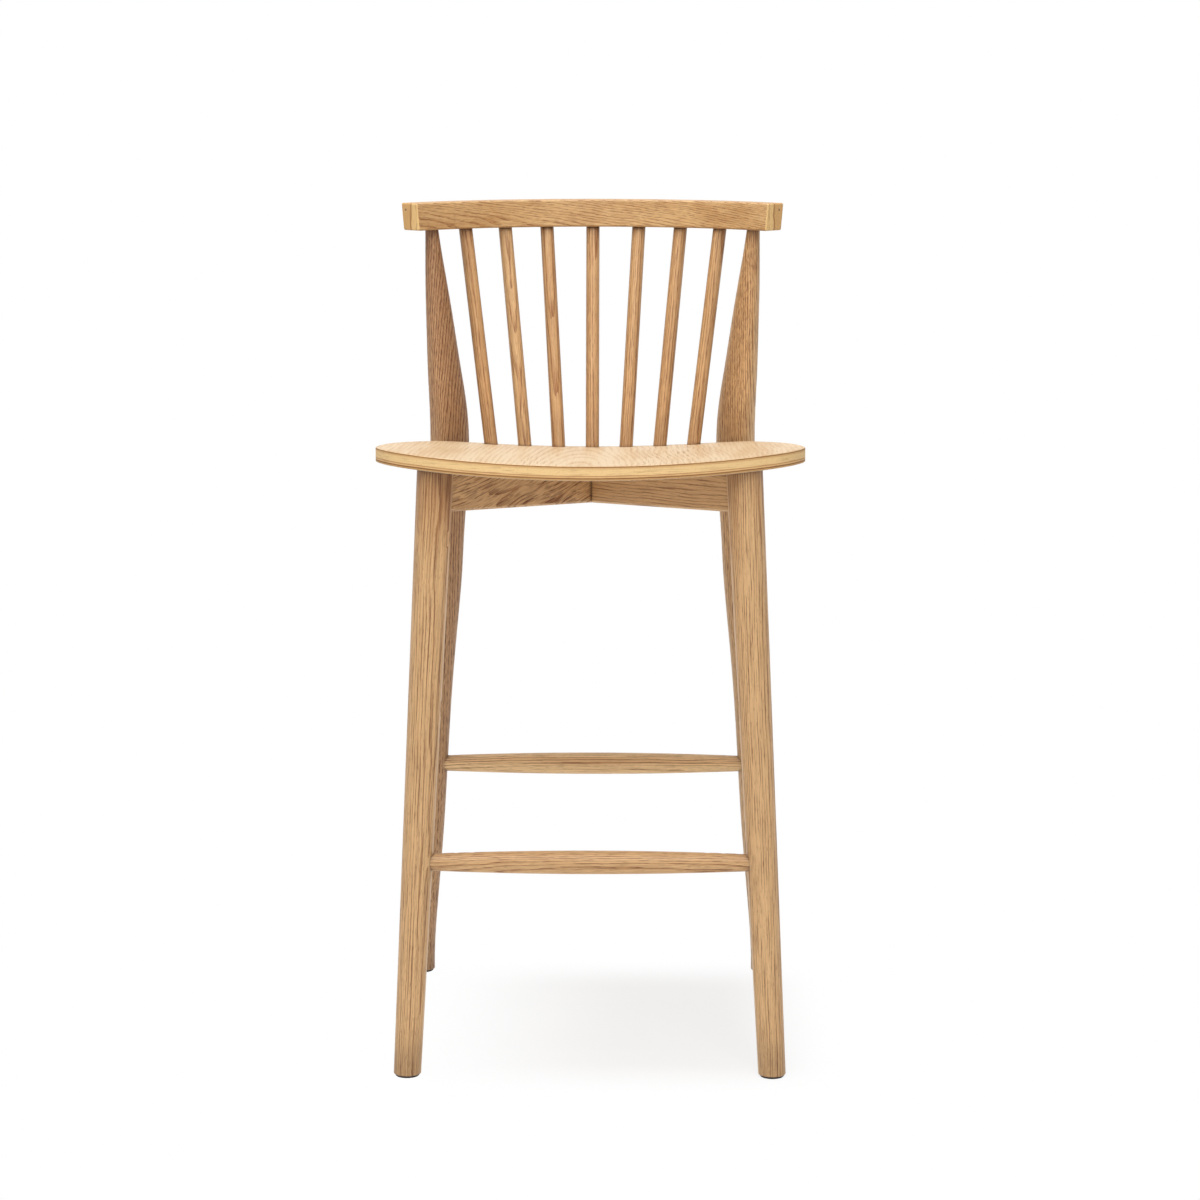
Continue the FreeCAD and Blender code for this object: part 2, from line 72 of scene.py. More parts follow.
class Signal:
    """A shader socket that takes part in Python arithmetic."""

    def __init__(self, tree: ShaderTree, socket: bpy.types.NodeSocket) -> None:
        """Keep the socket and the tree that new nodes go to."""
        self.tree = tree
        self.socket = socket

    def _math(self, operation: str, *values: Signal | float) -> Signal:
        """Add one Math node and return its result."""
        node = self.tree.add("ShaderNodeMath", {"operation": operation}, dict(enumerate(values)))
        return Signal(self.tree, node.outputs[0])

    def __add__(self, other: Signal | float) -> Signal:
        """Add a value."""
        return self._math("ADD", self, other)

    def __radd__(self, other: float) -> Signal:
        """Add to a number."""
        return self._math("ADD", other, self)

    def __sub__(self, other: Signal | float) -> Signal:
        """Take a value away."""
        return self._math("SUBTRACT", self, other)

    def __rsub__(self, other: float) -> Signal:
        """Take away from a number."""
        return self._math("SUBTRACT", other, self)

    def __mul__(self, other: Signal | float) -> Signal:
        """Multiply by a value."""
        return self._math("MULTIPLY", self, other)

    def __rmul__(self, other: float) -> Signal:
        """Multiply a number."""
        return self._math("MULTIPLY", other, self)

    def __truediv__(self, other: Signal | float) -> Signal:
        """Divide by a value."""
        return self._math("DIVIDE", self, other)

    def __rtruediv__(self, other: float) -> Signal:
        """Divide a number."""
        return self._math("DIVIDE", other, self)

    def __abs__(self) -> Signal:
        """Drop the sign."""
        return self._math("ABSOLUTE", self)

    def centred(self) -> Signal:
        """Move noise that runs from 0 to 1 so that it runs about 0."""
        return self - 0.5

    def lift(self, low: float) -> Signal:
        """Squeeze what runs from 0 to 1 into low to 1."""
        return low + (1.0 - low) * self

    def root(self) -> Signal:
        """Take the square root."""
        return self._math("SQRT", self)

    def fraction(self) -> Signal:
        """Keep what is left after the whole number."""
        return self._math("FRACT", self)

    def bearing(self, other: Signal) -> Signal:
        """Return the angle whose tangent is this over another value."""
        return self._math("ARCTAN2", self, other)

    def ramp(self, low: float, high: float) -> Signal:
        """Rise smoothly from 0 at low to 1 at high, or fall where high is the lesser.

        Args:
            low: The value that gives 0.
            high: The value that gives 1.

        Returns:
            The smooth share, kept between 0 and 1.
        """
        start, end = (0.0, 1.0) if low < high else (1.0, 0.0)
        node = self.tree.add(
            "ShaderNodeMapRange", {"interpolation_type": "SMOOTHSTEP"},
            {"Value": self, "From Min": min(low, high), "From Max": max(low, high),
             "To Min": start, "To Max": end})
        return Signal(self.tree, node.outputs["Result"])


Spot = tuple[Signal, Signal, Signal]


class ShaderTree:
    """The node tree of a material or a world, with one method that adds any node."""

    NOISE_ROUGHNESS = 0.55
    BUMP_STRENGTH = 0.6
    PROBES = 4
    ARRIS_BAND = (0.995, 0.9)
    # The numbers of a Mix node's sockets for colours.
    MIX_FIRST, MIX_SECOND, MIX_RESULT = 6, 7, 2

    def __init__(self, holder: bpy.types.Material | bpy.types.World,
                 output: str = "ShaderNodeOutputMaterial") -> None:
        """Empty the holder's tree and give it an output.

        Args:
            holder: The material or world.
            output: The type of its output node.
        """
        holder.use_nodes = True
        self.holder = holder
        self.nodes = holder.node_tree.nodes
        self.links = holder.node_tree.links
        self.nodes.clear()
        self.output = self.add(output)

    @classmethod
    def of_material(cls, name: str) -> ShaderTree:
        """Start the tree of a new material."""
        return cls(bpy.data.materials.new(name))

    def add(self, kind: str, settings: dict[str, Any] | None = None,
            sockets: dict[str | int, Any] | None = None) -> bpy.types.Node:
        """Add a node.

        Args:
            kind: The node's type.
            settings: Its own settings, or "stops" for a ramp's places and colours.
            sockets: Values or signals for its inputs, by name or number.

        Returns:
            The new node.
        """
        node = self.nodes.new(kind)
        for name, setting in (settings or {}).items():
            if name == "stops":
                self._set_stops(node, setting)
            else:
                setattr(node, name, setting)
        for key, value in (sockets or {}).items():
            self.feed(node.inputs[key], value)
        return node

    @staticmethod
    def _set_stops(node: bpy.types.Node, stops: list[tuple[float, Colour]]) -> None:
        """Give a colour ramp its stops.

        Args:
            node: The ramp.
            stops: Places from 0 to 1 and their colours.
        """
        elements = node.color_ramp.elements
        while len(elements) < len(stops):
            elements.new(1.0)
        for element, (place, colour) in zip(elements, stops):
            element.position = place
            element.color = colour

    def feed(self, socket: bpy.types.NodeSocket, value: Any) -> None:
        """Link a signal to an input, or set the input's own value."""
        if isinstance(value, Signal):
            self.links.new(value.socket, socket)
        else:
            socket.default_value = value

    def place(self) -> Signal:
        """Return the surface point in the stool's own frame."""
        return Signal(self, self.add("ShaderNodeTexCoord").outputs["Object"])

    def parts(self, vector: Signal) -> Spot:
        """Split a vector into its three numbers."""
        node = self.add("ShaderNodeSeparateXYZ", None, {0: vector})
        return (Signal(self, node.outputs[0]), Signal(self, node.outputs[1]),
                Signal(self, node.outputs[2]))

    def point(self, x: Signal | float, y: Signal | float, z: Signal | float) -> Signal:
        """Join three numbers into a vector."""
        node = self.add("ShaderNodeCombineXYZ", None, {0: x, 1: y, 2: z})
        return Signal(self, node.outputs[0])

    def shifted(self, vector: Signal, by: Vector) -> Signal:
        """Take a fixed point away from a vector."""
        node = self.add("ShaderNodeVectorMath", {"operation": "SUBTRACT"}, {0: vector, 1: by})
        return Signal(self, node.outputs[0])

    def along(self, vector: Signal, direction: Vector | Signal) -> Signal:
        """Measure a vector along a direction."""
        node = self.add(
            "ShaderNodeVectorMath", {"operation": "DOT_PRODUCT"}, {0: vector, 1: direction})
        return Signal(self, node.outputs["Value"])

    def noise(self, vector: Signal, detail: float = 1.0, scale: float = 1.0) -> Signal:
        """Return cloudy noise from 0 to 1 at a point.

        Args:
            vector: Where the noise is read.
            detail: How many finer layers it has.
            scale: How many clouds there are per unit.

        Returns:
            The noise.
        """
        node = self.add(
            "ShaderNodeTexNoise", {"noise_dimensions": "3D"},
            {"Vector": vector, "Scale": scale, "Detail": detail,
             "Roughness": self.NOISE_ROUGHNESS})
        return Signal(self, node.outputs[0])

    def mix(self, share: Signal | float, first: Signal | Colour,
            second: Signal | Colour) -> Signal:
        """Mix two colours.

        Args:
            share: How much of the second colour shows, 0 to 1.
            first: The colour at 0.
            second: The colour at 1.

        Returns:
            The mixed colour.
        """
        node = self.add(
            "ShaderNodeMix", {"data_type": "RGBA", "clamp_factor": True},
            {0: share, self.MIX_FIRST: first, self.MIX_SECOND: second})
        return Signal(self, node.outputs[self.MIX_RESULT])

    def stops(self, share: Signal, stops: list[tuple[float, Colour]]) -> Signal:
        """Look a colour up in a ramp."""
        node = self.add("ShaderNodeValToRGB", {"stops": stops}, {0: share})
        return Signal(self, node.outputs["Color"])

    def normal(self) -> Signal:
        """Return the surface normal."""
        return Signal(self, self.add("ShaderNodeNewGeometry").outputs["Normal"])

    def soft_normal(self, radius: float) -> Signal:
        """Return the surface normal with its arrises eased over a radius."""
        node = self.add("ShaderNodeBevel", {"samples": self.PROBES}, {"Radius": radius})
        return Signal(self, node.outputs[0])

    def edge(self, reach: float) -> Signal:
        """Return 1 on an arris and 0 on a plain face further from it than the reach."""
        return self.along(self.soft_normal(reach), self.normal()).ramp(*self.ARRIS_BAND)

    def crevice(self, reach: float, clear: float = 0.9, closed: float = 0.5) -> Signal:
        """Return 1 where two pieces meet and 0 away from the joint.

        Args:
            reach: How far another piece is felt.
            clear: The openness that gives 0.
            closed: The openness that gives 1.

        Returns:
            The share.
        """
        node = self.add(
            "ShaderNodeAmbientOcclusion", {"samples": self.PROBES}, {"Distance": reach})
        return Signal(self, node.outputs["AO"]).ramp(clear, closed)

    def shown(self) -> Signal:
        """Return 1 for what the camera sees, straight or through a gloss, and 0 for light."""
        rays = self.add("ShaderNodeLightPath").outputs
        straight = Signal(self, rays["Is Camera Ray"])
        mirrored = Signal(self, rays["Is Glossy Ray"])
        return straight + mirrored + Signal(self, rays["Is Transmission Ray"])

    def surface(self, colour: Signal | Colour, rough: Signal | float, height: Signal,
                depth: float, eased: Signal | None = None, shine: float = 0.45,
                metal: float = 0.0) -> bpy.types.Material:
        """Finish the material with one shader.

        Args:
            colour: The base colour.
            rough: The roughness.
            height: The bump's height, 0 to 1.
            depth: How deep a height of 1 is.
            eased: The normal that the bump is laid on.
            shine: The specular level.
            metal: 1 for metal, 0 for the rest.

        Returns:
            The finished material.
        """
        bump_inputs: dict[str | int, Any] = {
            "Strength": self.BUMP_STRENGTH, "Distance": depth, "Height": height}
        if eased is not None:
            bump_inputs["Normal"] = eased
        bump = self.add("ShaderNodeBump", None, bump_inputs)
        shader = self.add(
            "ShaderNodeBsdfPrincipled", None,
            {"Base Color": colour, "Roughness": rough, "Metallic": metal,
             "Specular IOR Level": shine, "Normal": Signal(self, bump.outputs[0])})
        self.feed(self.output.inputs["Surface"], Signal(self, shader.outputs[0]))
        return self.holder


class Cut(Enum):
    """How a board was sawn: the turn of its rings from the face that looks forward."""

    FLAT = 0.0
    RIFT = 48.0
    QUARTER = 84.0


class Wood(Enum):
    """Which oak a board is: the usual one, a darker brown one or a paler one."""

    TAN = "tan"
    BROWN = "brown"
    CREAM = "cream"


@dataclass(frozen=True)
class SideHighlight:
    """A painted highlight that pales the side of a piece that faces left or right.

    Attributes:
        side: The way the side looks, -1 for left and 1 for right.
        band: How far the surface turns that way where the highlight starts and is full.
        share: How strong the highlight is, 0 to 1.
    """

    side: float
    band: Band
    share: float


@dataclass(frozen=True)
class Board:
    """The wood that one piece was cut from.

    Attributes:
        cut: How it was sawn.
        seed: Where its noise starts.
        tone: How much darker it is, or paler below 0.
        pith: How far the tree's middle lies behind the piece.
        drift: How fast the rings move away along the piece.
        sway: How far the grain wanders.
        slope: The lean of the grain to the piece, in degrees.
        bold: How strong the rings and pores are.
        streaks: How often the long pores break, per metre.
        fade: How much darker painted shade makes it per metre up along the grain.
        wood: Which oak it is.
        ring: The width of one year's growth.
        patchy: How far the rings break up into flames, 0 to 1.
        dashes: How dark its short marks are, 0 to 1.
        heart: How much darker its middle band is, or paler below 0.
        heart_at: Where that band lies across the piece.
        heart_reach: How far the band reaches to each side.
        side_highlights: The sides that a painted highlight pales.
        cloudy: How strong the slow changes of tone are.
        corner_shade: How dark the painted shade in its corners and under the seat goes, 0 to 1.
        top: How much darker painted shade makes its upper end, under the seat.
        top_shade_band: Where that shade starts and is full, from the middle.
    """

    cut: Cut
    seed: float
    tone: float = 0.0
    pith: float = 0.075
    drift: float = 0.012
    sway: float = 0.0022
    slope: float = 0.0
    bold: float = 1.0
    streaks: float = 24.0
    # Painted shade that deepens up along the grain.
    fade: float = 0.0
    wood: Wood = Wood.TAN
    ring: float = 0.0024
    patchy: float = 0.0
    dashes: float = 0.0
    heart: float = 0.0
    heart_at: float = -0.001
    heart_reach: float = 0.0075
    # Painted highlights on the sides that face left or right.
    side_highlights: tuple[SideHighlight, ...] = ()
    cloudy: float = 0.6
    # Painted shade in the corners and under the seat.
    corner_shade: float = 0.28
    # Painted shade on the upper end, under the seat.
    top: float = 0.0
    top_shade_band: Band = (0.2, 0.31)


@dataclass(frozen=True)
class GrainSpace:
    """A surface point measured along the grain, across it and into its face."""

    along: Signal
    side: Signal
    face: Signal

    def spot(self) -> Spot:
        """Return the three distances together."""
        return (self.along, self.side, self.face)


@dataclass(frozen=True)
class StraightGrain:
    """Grain that runs straight along a piece."""

    middle: Vector
    direction: Vector

    @classmethod
    def of(cls, node: bpy.types.Object) -> StraightGrain:
        """Find the long direction of a piece, upwards or for a level piece to the right.

        Args:
            node: The piece.

        Returns:
            Its grain.
        """
        corners = np.empty(len(node.data.vertices) * 3)
        node.data.vertices.foreach_get("co", corners)
        corners = corners.reshape(-1, 3)
        middle = (corners.max(axis=0) + corners.min(axis=0)) / 2
        axes = np.linalg.svd(corners - corners.mean(axis=0), full_matrices=False)[2]
        direction = Vector(axes[0])
        if direction.z + direction.x * SIDEWAYS_WEIGHT < 0:
            direction.negate()
        return cls(Vector(middle), direction)

    def space(self, tree: ShaderTree) -> GrainSpace:
        """Measure the surface in this grain.

        Args:
            tree: The material that measures.

        Returns:
            The three distances.
        """
        face = (FORWARD - self.direction * FORWARD.dot(self.direction)).normalized()
        side = self.direction.cross(face)
        place = tree.shifted(tree.place(), self.middle)
        return GrainSpace(
            tree.along(place, self.direction), tree.along(place, side), tree.along(place, face))


@dataclass(frozen=True)
class BentGrain:
    """Grain that follows a bend about an upright line."""

    middle: Vector
    radius: float

    def space(self, tree: ShaderTree) -> GrainSpace:
        """Measure the surface along the bend.

        Args:
            tree: The material that measures.

        Returns:
            The distances along the arc, up, and towards the bend's middle.
        """
        x, y, z = tree.parts(tree.shifted(tree.place(), self.middle))
        reach = (x * x + y * y).root()
        return GrainSpace(x.bearing(y) * self.radius, z, self.radius - reach)


@dataclass(frozen=True)
class Stretch:
    """Noise that is drawn out by its own amount in each of three directions.

    Attributes:
        scales: How often it changes in each direction, per metre.
        layers: How many finer layers it has.
        apart: How far a start of 1 moves it in the first direction.
        band: The noise that becomes 0 and 1, or None to leave it.
    """

    scales: tuple[float, float, float]
    layers: float = 1.0
    apart: float = 1.0
    band: Band | None = None

    def broken(self, often: float) -> Stretch:
        """Return the same noise with other breaks in the first direction."""
        return replace(self, scales=(often, *self.scales[1:]))

    def draw(self, tree: ShaderTree, spot: Spot, start: Signal | float = 0.0) -> Signal:
        """Draw the noise.

        Args:
            tree: The material.
            spot: The place in the three directions.
            start: Where the noise starts, so that two draws differ.

        Returns:
            The noise, from 0 to 1.
        """
        first, second, third = (part * scale for part, scale in zip(spot, self.scales))
        noise = tree.noise(tree.point(first + start * self.apart, second, third), self.layers)
        return noise if self.band is None else noise.ramp(*self.band)


@dataclass(frozen=True)
class Figure:
    """What the wood shows at a point: its colour, roughness and height."""

    colour: Signal
    rough: Signal
    height: Signal


@dataclass(frozen=True)
class OakFinish:
    """Oiled oak: growth rings, long pores, short flecks and slow changes of tone."""

    pale: Colour = paint(226, 183, 131)
    tan: Colour = paint(184, 133, 84)
    pore: Colour = paint(116, 68, 36)
    ray: Colour = paint(232, 194, 142)
    # The colour of the painted highlights on the arrises and sides.
    rub: Colour = paint(243, 212, 172)
    # The colour of painted shade and of dark joints.
    joints_and_shade: Colour = paint(78, 48, 27)

    wander: Stretch = Stretch((9.0, 26.0, 26.0), layers=2.0)
    growth: Stretch = Stretch((3.0, 120.0, 120.0))
    fibre_lines: Stretch = Stretch((9.0, 420.0, 420.0), layers=2.0, apart=2.0)
    pore_lines: Stretch = Stretch((24.0, 1000.0, 1000.0), apart=3.0, band=(0.44, 0.6))
    fleck_lines: Stretch = Stretch((120.0, 1200.0, 1200.0), band=(0.56, 0.68))
    ray_lines: Stretch = Stretch((40.0, 500.0, 500.0), apart=4.0, band=(0.6, 0.72))
    clouds: Stretch = Stretch((7.0, 18.0, 18.0), apart=5.0)
    flames: Stretch = Stretch((30.0, 62.0, 62.0), layers=2.0, apart=6.0, band=(0.36, 0.64))
    dash_lines: Stretch = Stretch((60.0, 300.0, 300.0), apart=7.0, band=(0.54, 0.66))

    uneven: float = 1.6
    early_band: Band = (0.55, 0.0)
    late_pores: float = 0.3
    usual_tone: float = 0.34
    ring_middle: float = 0.35
    ring_tone: float = 0.75
    fibre_tone: float = 0.9
    flame_rings: float = 1.6
    flame_tone: float = 1.1
    heart_core: float = 0.001
    ray_share: float = 0.3
    pore_share: float = 0.66
    fleck_share: float = 0.24

    rough: float = 0.4
    pore_rough: float = 0.2
    fibre_rough: float = 0.16
    level: float = 0.7
    fibre_height: float = 0.3
    pore_depth: float = 0.55
    fleck_depth: float = 0.2
    depth: float = 0.0004
    ease: float = 0.0005

    # The reach and strength of the painted highlight on the arrises, the reach of the painted
    # shade in corners, and the dark joints.
    arris: float = 0.0015
    arris_highlight: float = 0.7
    corner: float = 0.06
    corner_openness: Band = (1.0, 0.85)
    seam: float = 0.004
    seam_share: float = 0.85

    def wandering(self, tree: ShaderTree, space: GrainSpace, board: Board) -> GrainSpace:
        """Lean the grain by the board's slope and let it wander.

        Args:
            tree: The material.
            space: Where the surface lies in a plain grain.
            board: The wood of this piece.

        Returns:
            Where the surface lies in the board's own grain.
        """
        slope = math.radians(board.slope)
        along = space.along * math.cos(slope) + space.side * math.sin(slope)
        level = space.side * math.cos(slope) - space.along * math.sin(slope)
        wander = self.wander.draw(tree, (along, level, space.face), board.seed).centred()
        return GrainSpace(
            along, level + wander * board.sway * 2, space.face + wander * board.sway)

    def early_wood(self, tree: ShaderTree, at: GrainSpace, board: Board) -> Signal:
        """Draw the porous wood that each year's growth starts with.

        Args:
            tree: The material.
            at: Where the surface lies in the board's grain.
            board: The wood of this piece.

        Returns:
            1 at the start of a ring, falling to 0 in the late wood.
        """
        turn = math.radians(board.cut.value)
        ring_side = at.side + board.pith * math.sin(turn)
        ring_face = at.face + board.pith * math.cos(turn) + at.along * board.drift
        reach = (ring_side * ring_side + ring_face * ring_face).root()
        growth = self.growth.draw(tree, at.spot(), board.seed)
        return (reach / board.ring + growth * self.uneven).fraction().ramp(*self.early_band)

    def tone(self, tree: ShaderTree, at: GrainSpace, board: Board, early: Signal,
             fibre: Signal) -> Signal:
        """Work out how dark the wood between the pores is, painted shade included.

        Args:
            tree: The material.
            at: Where the surface lies in the board's grain.
            board: The wood of this piece.
            early: The share of early wood.
            fibre: The fibres, about 0.

        Returns:
            0 for the pale colour and 1 for the tan one.
        """
        rings = (early - self.ring_middle) * self.ring_tone
        cloud = self.clouds.draw(tree, at.spot(), board.seed).centred()
        # Painted shade deepens up along the grain.
        tone = self.usual_tone + board.tone + cloud * board.cloudy + at.along * board.fade
        if board.patchy:
            flame = self.flames.draw(tree, at.spot(), board.seed)
            rings = rings * (1.0 - board.patchy + self.flame_rings * board.patchy * flame)
            tone = tone + flame.centred() * self.flame_tone * board.patchy
        if board.heart:
            aside = abs(at.side - board.heart_at)
            tone = tone + aside.ramp(board.heart_reach, self.heart_core) * board.heart
        # Painted shade on the upper end, under the seat.
        if board.top:
            tone = tone + at.along.ramp(*board.top_shade_band) * board.top
        return tone + (fibre * self.fibre_tone + rings) * board.bold

    def figure(self, tree: ShaderTree, space: GrainSpace, board: Board) -> Figure:
        """Draw the oak's figure.

        Args:
            tree: The material.
            space: Where the surface lies in a plain grain.
            board: The wood of this piece.

        Returns:
            The figure.
        """
        at = self.wandering(tree, space, board)
        spot, seed = at.spot(), board.seed
        early = self.early_wood(tree, at, board)
        fibre = self.fibre_lines.draw(tree, spot, seed).centred()
        streaks = self.pore_lines.broken(board.streaks).draw(tree, spot, seed)
        pores = streaks * early.lift(self.late_pores)
        flecks = self.fleck_lines.draw(tree, spot, seed)
        rays = self.ray_lines.draw(tree, spot, seed)

        tone = self.tone(tree, at, board, early, fibre)
        colour = tree.mix(tone, self.pale, self.tan)
        colour = tree.mix(rays * self.ray_share, colour, self.ray)
        if board.dashes:
            dashes = self.dash_lines.draw(tree, spot, seed)
            colour = tree.mix(dashes * board.dashes, colour, self.pore)
        dark = (pores * self.pore_share + flecks * self.fleck_share) * board.bold
        colour = tree.mix(dark, colour, self.pore)
        rough = self.rough + pores * self.pore_rough + fibre * self.fibre_rough
        height = self.level + fibre * self.fibre_height - pores * self.pore_depth
        return Figure(colour, rough, height - flecks * self.fleck_depth)

    def material(self, name: str, grain: StraightGrain | BentGrain,
                 board: Board) -> bpy.types.Material:
        """Make the oak of one piece.

        Args:
            name: The material's name.
            grain: How the grain runs.
            board: The wood of this piece.

        Returns:
            The material.
        """
        tree = ShaderTree.of_material(name)
        figure = self.figure(tree, grain.space(tree), board)
        # Painted highlight on the arrises and painted shade in the corners.
        colour = self.highlight_shade_and_joints(tree, figure.colour, board.corner_shade)
        # Painted highlights on the sides that face left or right.
        for rub in board.side_highlights:
            toward = tree.along(tree.normal(), Vector((rub.side, 0.0, 0.0)))
            colour = tree.mix(toward.ramp(*rub.band) * rub.share, colour, self.rub)
        return tree.surface(
            colour, figure.rough, figure.height, self.depth, tree.soft_normal(self.ease))

    def highlight_shade_and_joints(self, tree: ShaderTree, colour: Signal, corner_shade: float) -> Signal:
        """Paint a highlight along the arrises, paint shade into the corners and under the seat,
        and darken where pieces meet.

        Args:
            tree: The material.
            colour: The wood's colour.
            corner_shade: How dark the painted shade in the corners goes, 0 to 1.

        Returns:
            The colour with its painted highlight and painted shade.
        """
        # Painted highlight along the arrises.
        colour = tree.mix(tree.edge(self.arris) * self.arris_highlight, colour, self.rub)
        # Painted shade in the corners and under the seat.
        corner = tree.crevice(self.corner, *self.corner_openness)
        colour = tree.mix(corner * corner_shade, colour, self.joints_and_shade)
        # Darker within a few millimetres of where pieces meet.
        return tree.mix(tree.crevice(self.seam) * self.seam_share, colour, self.joints_and_shade)


@dataclass(frozen=True)
class CrestFinish:
    """Bent oak whose sawn ends show a paler, yellower end grain in two layers."""

    oak: OakFinish
    end_outer: Colour = paint(215, 169, 107)
    end_inner: Colour = paint(239, 199, 134)
    end_pore: Colour = paint(182, 134, 79)
    end_line: Colour = paint(160, 108, 58)

    wander: Stretch = Stretch((1.0, 60.0, 60.0))
    bands: Stretch = Stretch((1.0, 90.0, 1100.0))
    dots: Stretch = Stretch((1.0, 1500.0, 1700.0), band=(0.6, 0.75))

    waves: float = 0.004
    inner_from: Band = (0.0015, 0.0035)
    dark_bands: Band = (0.5, 0.75)
    band_share: float = 0.45
    dot_share: float = 0.4
    glue_at: float = 0.0008
    glue_width: Band = (0.0014, 0.0004)
    glue_share: float = 0.85
    crack_at: float = 0.0092
    crack_waves: float = 0.003
    crack_width: Band = (0.0012, 0.0003)
    crack_breaks: Band = (0.35, 0.6)
    crack_share: float = 0.6
    sawn_from: Band = (0.0016, 0.0006)

    def end_grain(self, tree: ShaderTree, space: GrainSpace) -> Signal:
        """Draw the two layers of the sawn ends, their glue line and a fine crack.

        Args:
            tree: The material.
            space: Where the surface lies along the bend.

        Returns:
            The colour of the ends.
        """
        wander = self.wander.draw(tree, space.spot()).centred()
        depth = space.face + wander * self.waves
        spot = (space.along, space.side, depth)
        bands = self.bands.draw(tree, spot)
        colour = tree.mix(depth.ramp(*self.inner_from), self.end_outer, self.end_inner)
        dark = bands.ramp(*self.dark_bands) * self.band_share
        dark = dark + self.dots.draw(tree, spot) * self.dot_share
        colour = tree.mix(dark, colour, self.end_pore)
        glue = abs(depth - self.glue_at).ramp(*self.glue_width)
        crack = abs(depth + wander * self.crack_waves - self.crack_at).ramp(*self.crack_width)
        crack = crack * bands.ramp(*self.crack_breaks)
        return tree.mix(
            glue * self.glue_share + crack * self.crack_share, colour, self.end_line)

    def material(self, name: str, grain: BentGrain, board: Board,
                 half_length: float) -> bpy.types.Material:
        """Make the oak of the crest rail.

        Args:
            name: The material's name.
            grain: The bend that the grain follows.
            board: The wood of this piece.
            half_length: From the middle to an end, along the bend.

        Returns:
            The material.
        """
        tree = ShaderTree.of_material(name)
        space = grain.space(tree)
        figure = self.oak.figure(tree, space, board)
        start, full = (half_length - margin for margin in self.sawn_from)
        sawn = abs(space.along).ramp(start, full)
        colour = tree.mix(sawn, figure.colour, self.end_grain(tree, space))
        # Painted highlight on the arrises and painted shade in the corners.
        colour = self.oak.highlight_shade_and_joints(tree, colour, board.corner_shade)
        return tree.surface(
            colour, figure.rough, figure.height, self.oak.depth, tree.soft_normal(self.oak.ease))


@dataclass(frozen=True)
class PanelForm:
    """The form of the moulded seat, as the CAD model has it.

    Attributes:
        front: The y of the front edge.
        top_height: The height of the upper face at the middle of that edge.
        tilt: The slope down to the back, in degrees.
        dish: The radius of the curve from side to side.
        thickness: The panel's thickness.
    """

    front: float
    top_height: float = 0.650
    tilt: float = 4.1
    dish: float = 1.92
    thickness: float = 0.0155

    def below(self, spot: Spot) -> Signal:
        """Measure how deep a point lies below the upper face.

        Args:
            spot: The point.

        Returns:
            The depth.
        """
        x, y, z = spot
        rise = self.dish - (self.dish * self.dish - x * x).root()
        fall = math.tan(math.radians(self.tilt)) * (y - self.front)
        return self.top_height - fall + rise - z


